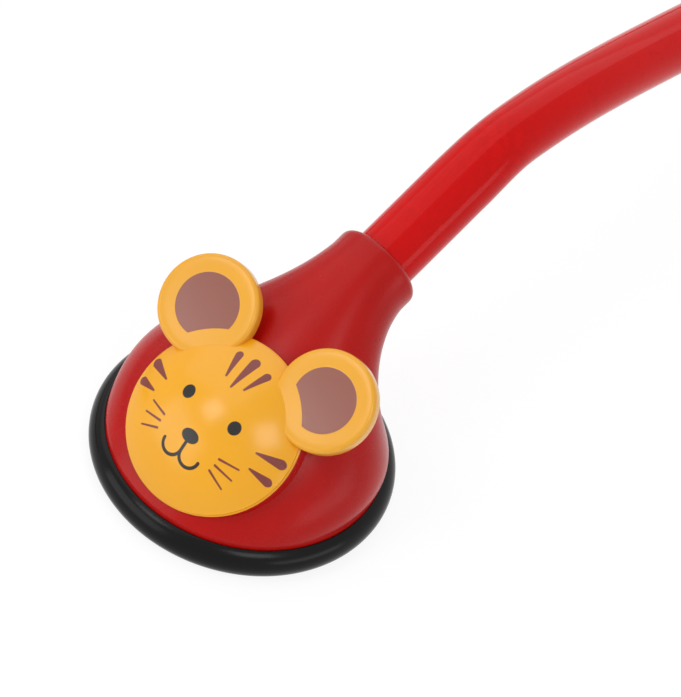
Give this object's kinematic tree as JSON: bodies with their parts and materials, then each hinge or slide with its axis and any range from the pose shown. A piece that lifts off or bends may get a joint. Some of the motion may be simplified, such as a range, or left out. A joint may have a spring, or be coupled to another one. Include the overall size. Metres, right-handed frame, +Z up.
{
  "type": "toy stethoscope",
  "caption": "Toy stethoscope with a horn-shaped red chest piece on a black rim ring, a domed animal face plate with round ears, a soft red hose and a headset with swinging arms.",
  "frame": {"origin": "centre of the rim ring's flat underside, on the surface that the stethoscope lies on", "axes": "+Z up, square to the ring's underside; -Y towards the face's side, +Y towards the neck and the hose; the headset lies on the -X side"},
  "size_m": [0.2234, 0.2739, 0.0481],
  "materials": {
    "bell_red": "satin moulded plastic",
    "ring_black": "smooth, half glossy",
    "diaphragm_white": "satin film",
    "face_yellow": "glossy, with printed face",
    "ear_yellow": "glossy, with printed patch",
    "screw_steel": "plain",
    "stem_white": "plain moulded plastic",
    "hose_red": "smooth, glossy soft plastic",
    "headset_red": "satin moulded plastic",
    "pin_steel": "plain",
    "tip_black": "smooth, soft"
  },
  "bodies": {
    "main": {"bell": "bell_red", "rim_ring": "ring_black", "diaphragm": "diaphragm_white", "face_dome": "face_yellow", "face_ear_left": "ear_yellow", "face_ear_right": "ear_yellow", "face_screws": "screw_steel", "hose_spigot": "stem_white", "hose": "hose_red", "hose_barb": "stem_white", "yoke_lower_shell": "headset_red", "yoke_upper_shell": "headset_red", "yoke_screws": "screw_steel", "left_pivot_pin": "pin_steel", "right_pivot_pin": "pin_steel"},
    "left_arm_body": {"left_arm": "headset_red", "left_ear_tip": "tip_black"},
    "right_arm_body": {"right_arm": "headset_red", "right_ear_tip": "tip_black"}
  },
  "joints": [
    {"name": "left_arm_swing", "type": "hinge", "parent": "main", "child": "left_arm_body", "pos_m": [-0.157, 0.069, 0.007], "axis": [0, 0, -1], "range_deg": [0, 22]},
    {"name": "right_arm_swing", "type": "hinge", "parent": "main", "child": "right_arm_body", "pos_m": [-0.135, 0.069, 0.007], "axis": [0, 0, 1], "range_deg": [0, 22]}
  ]
}
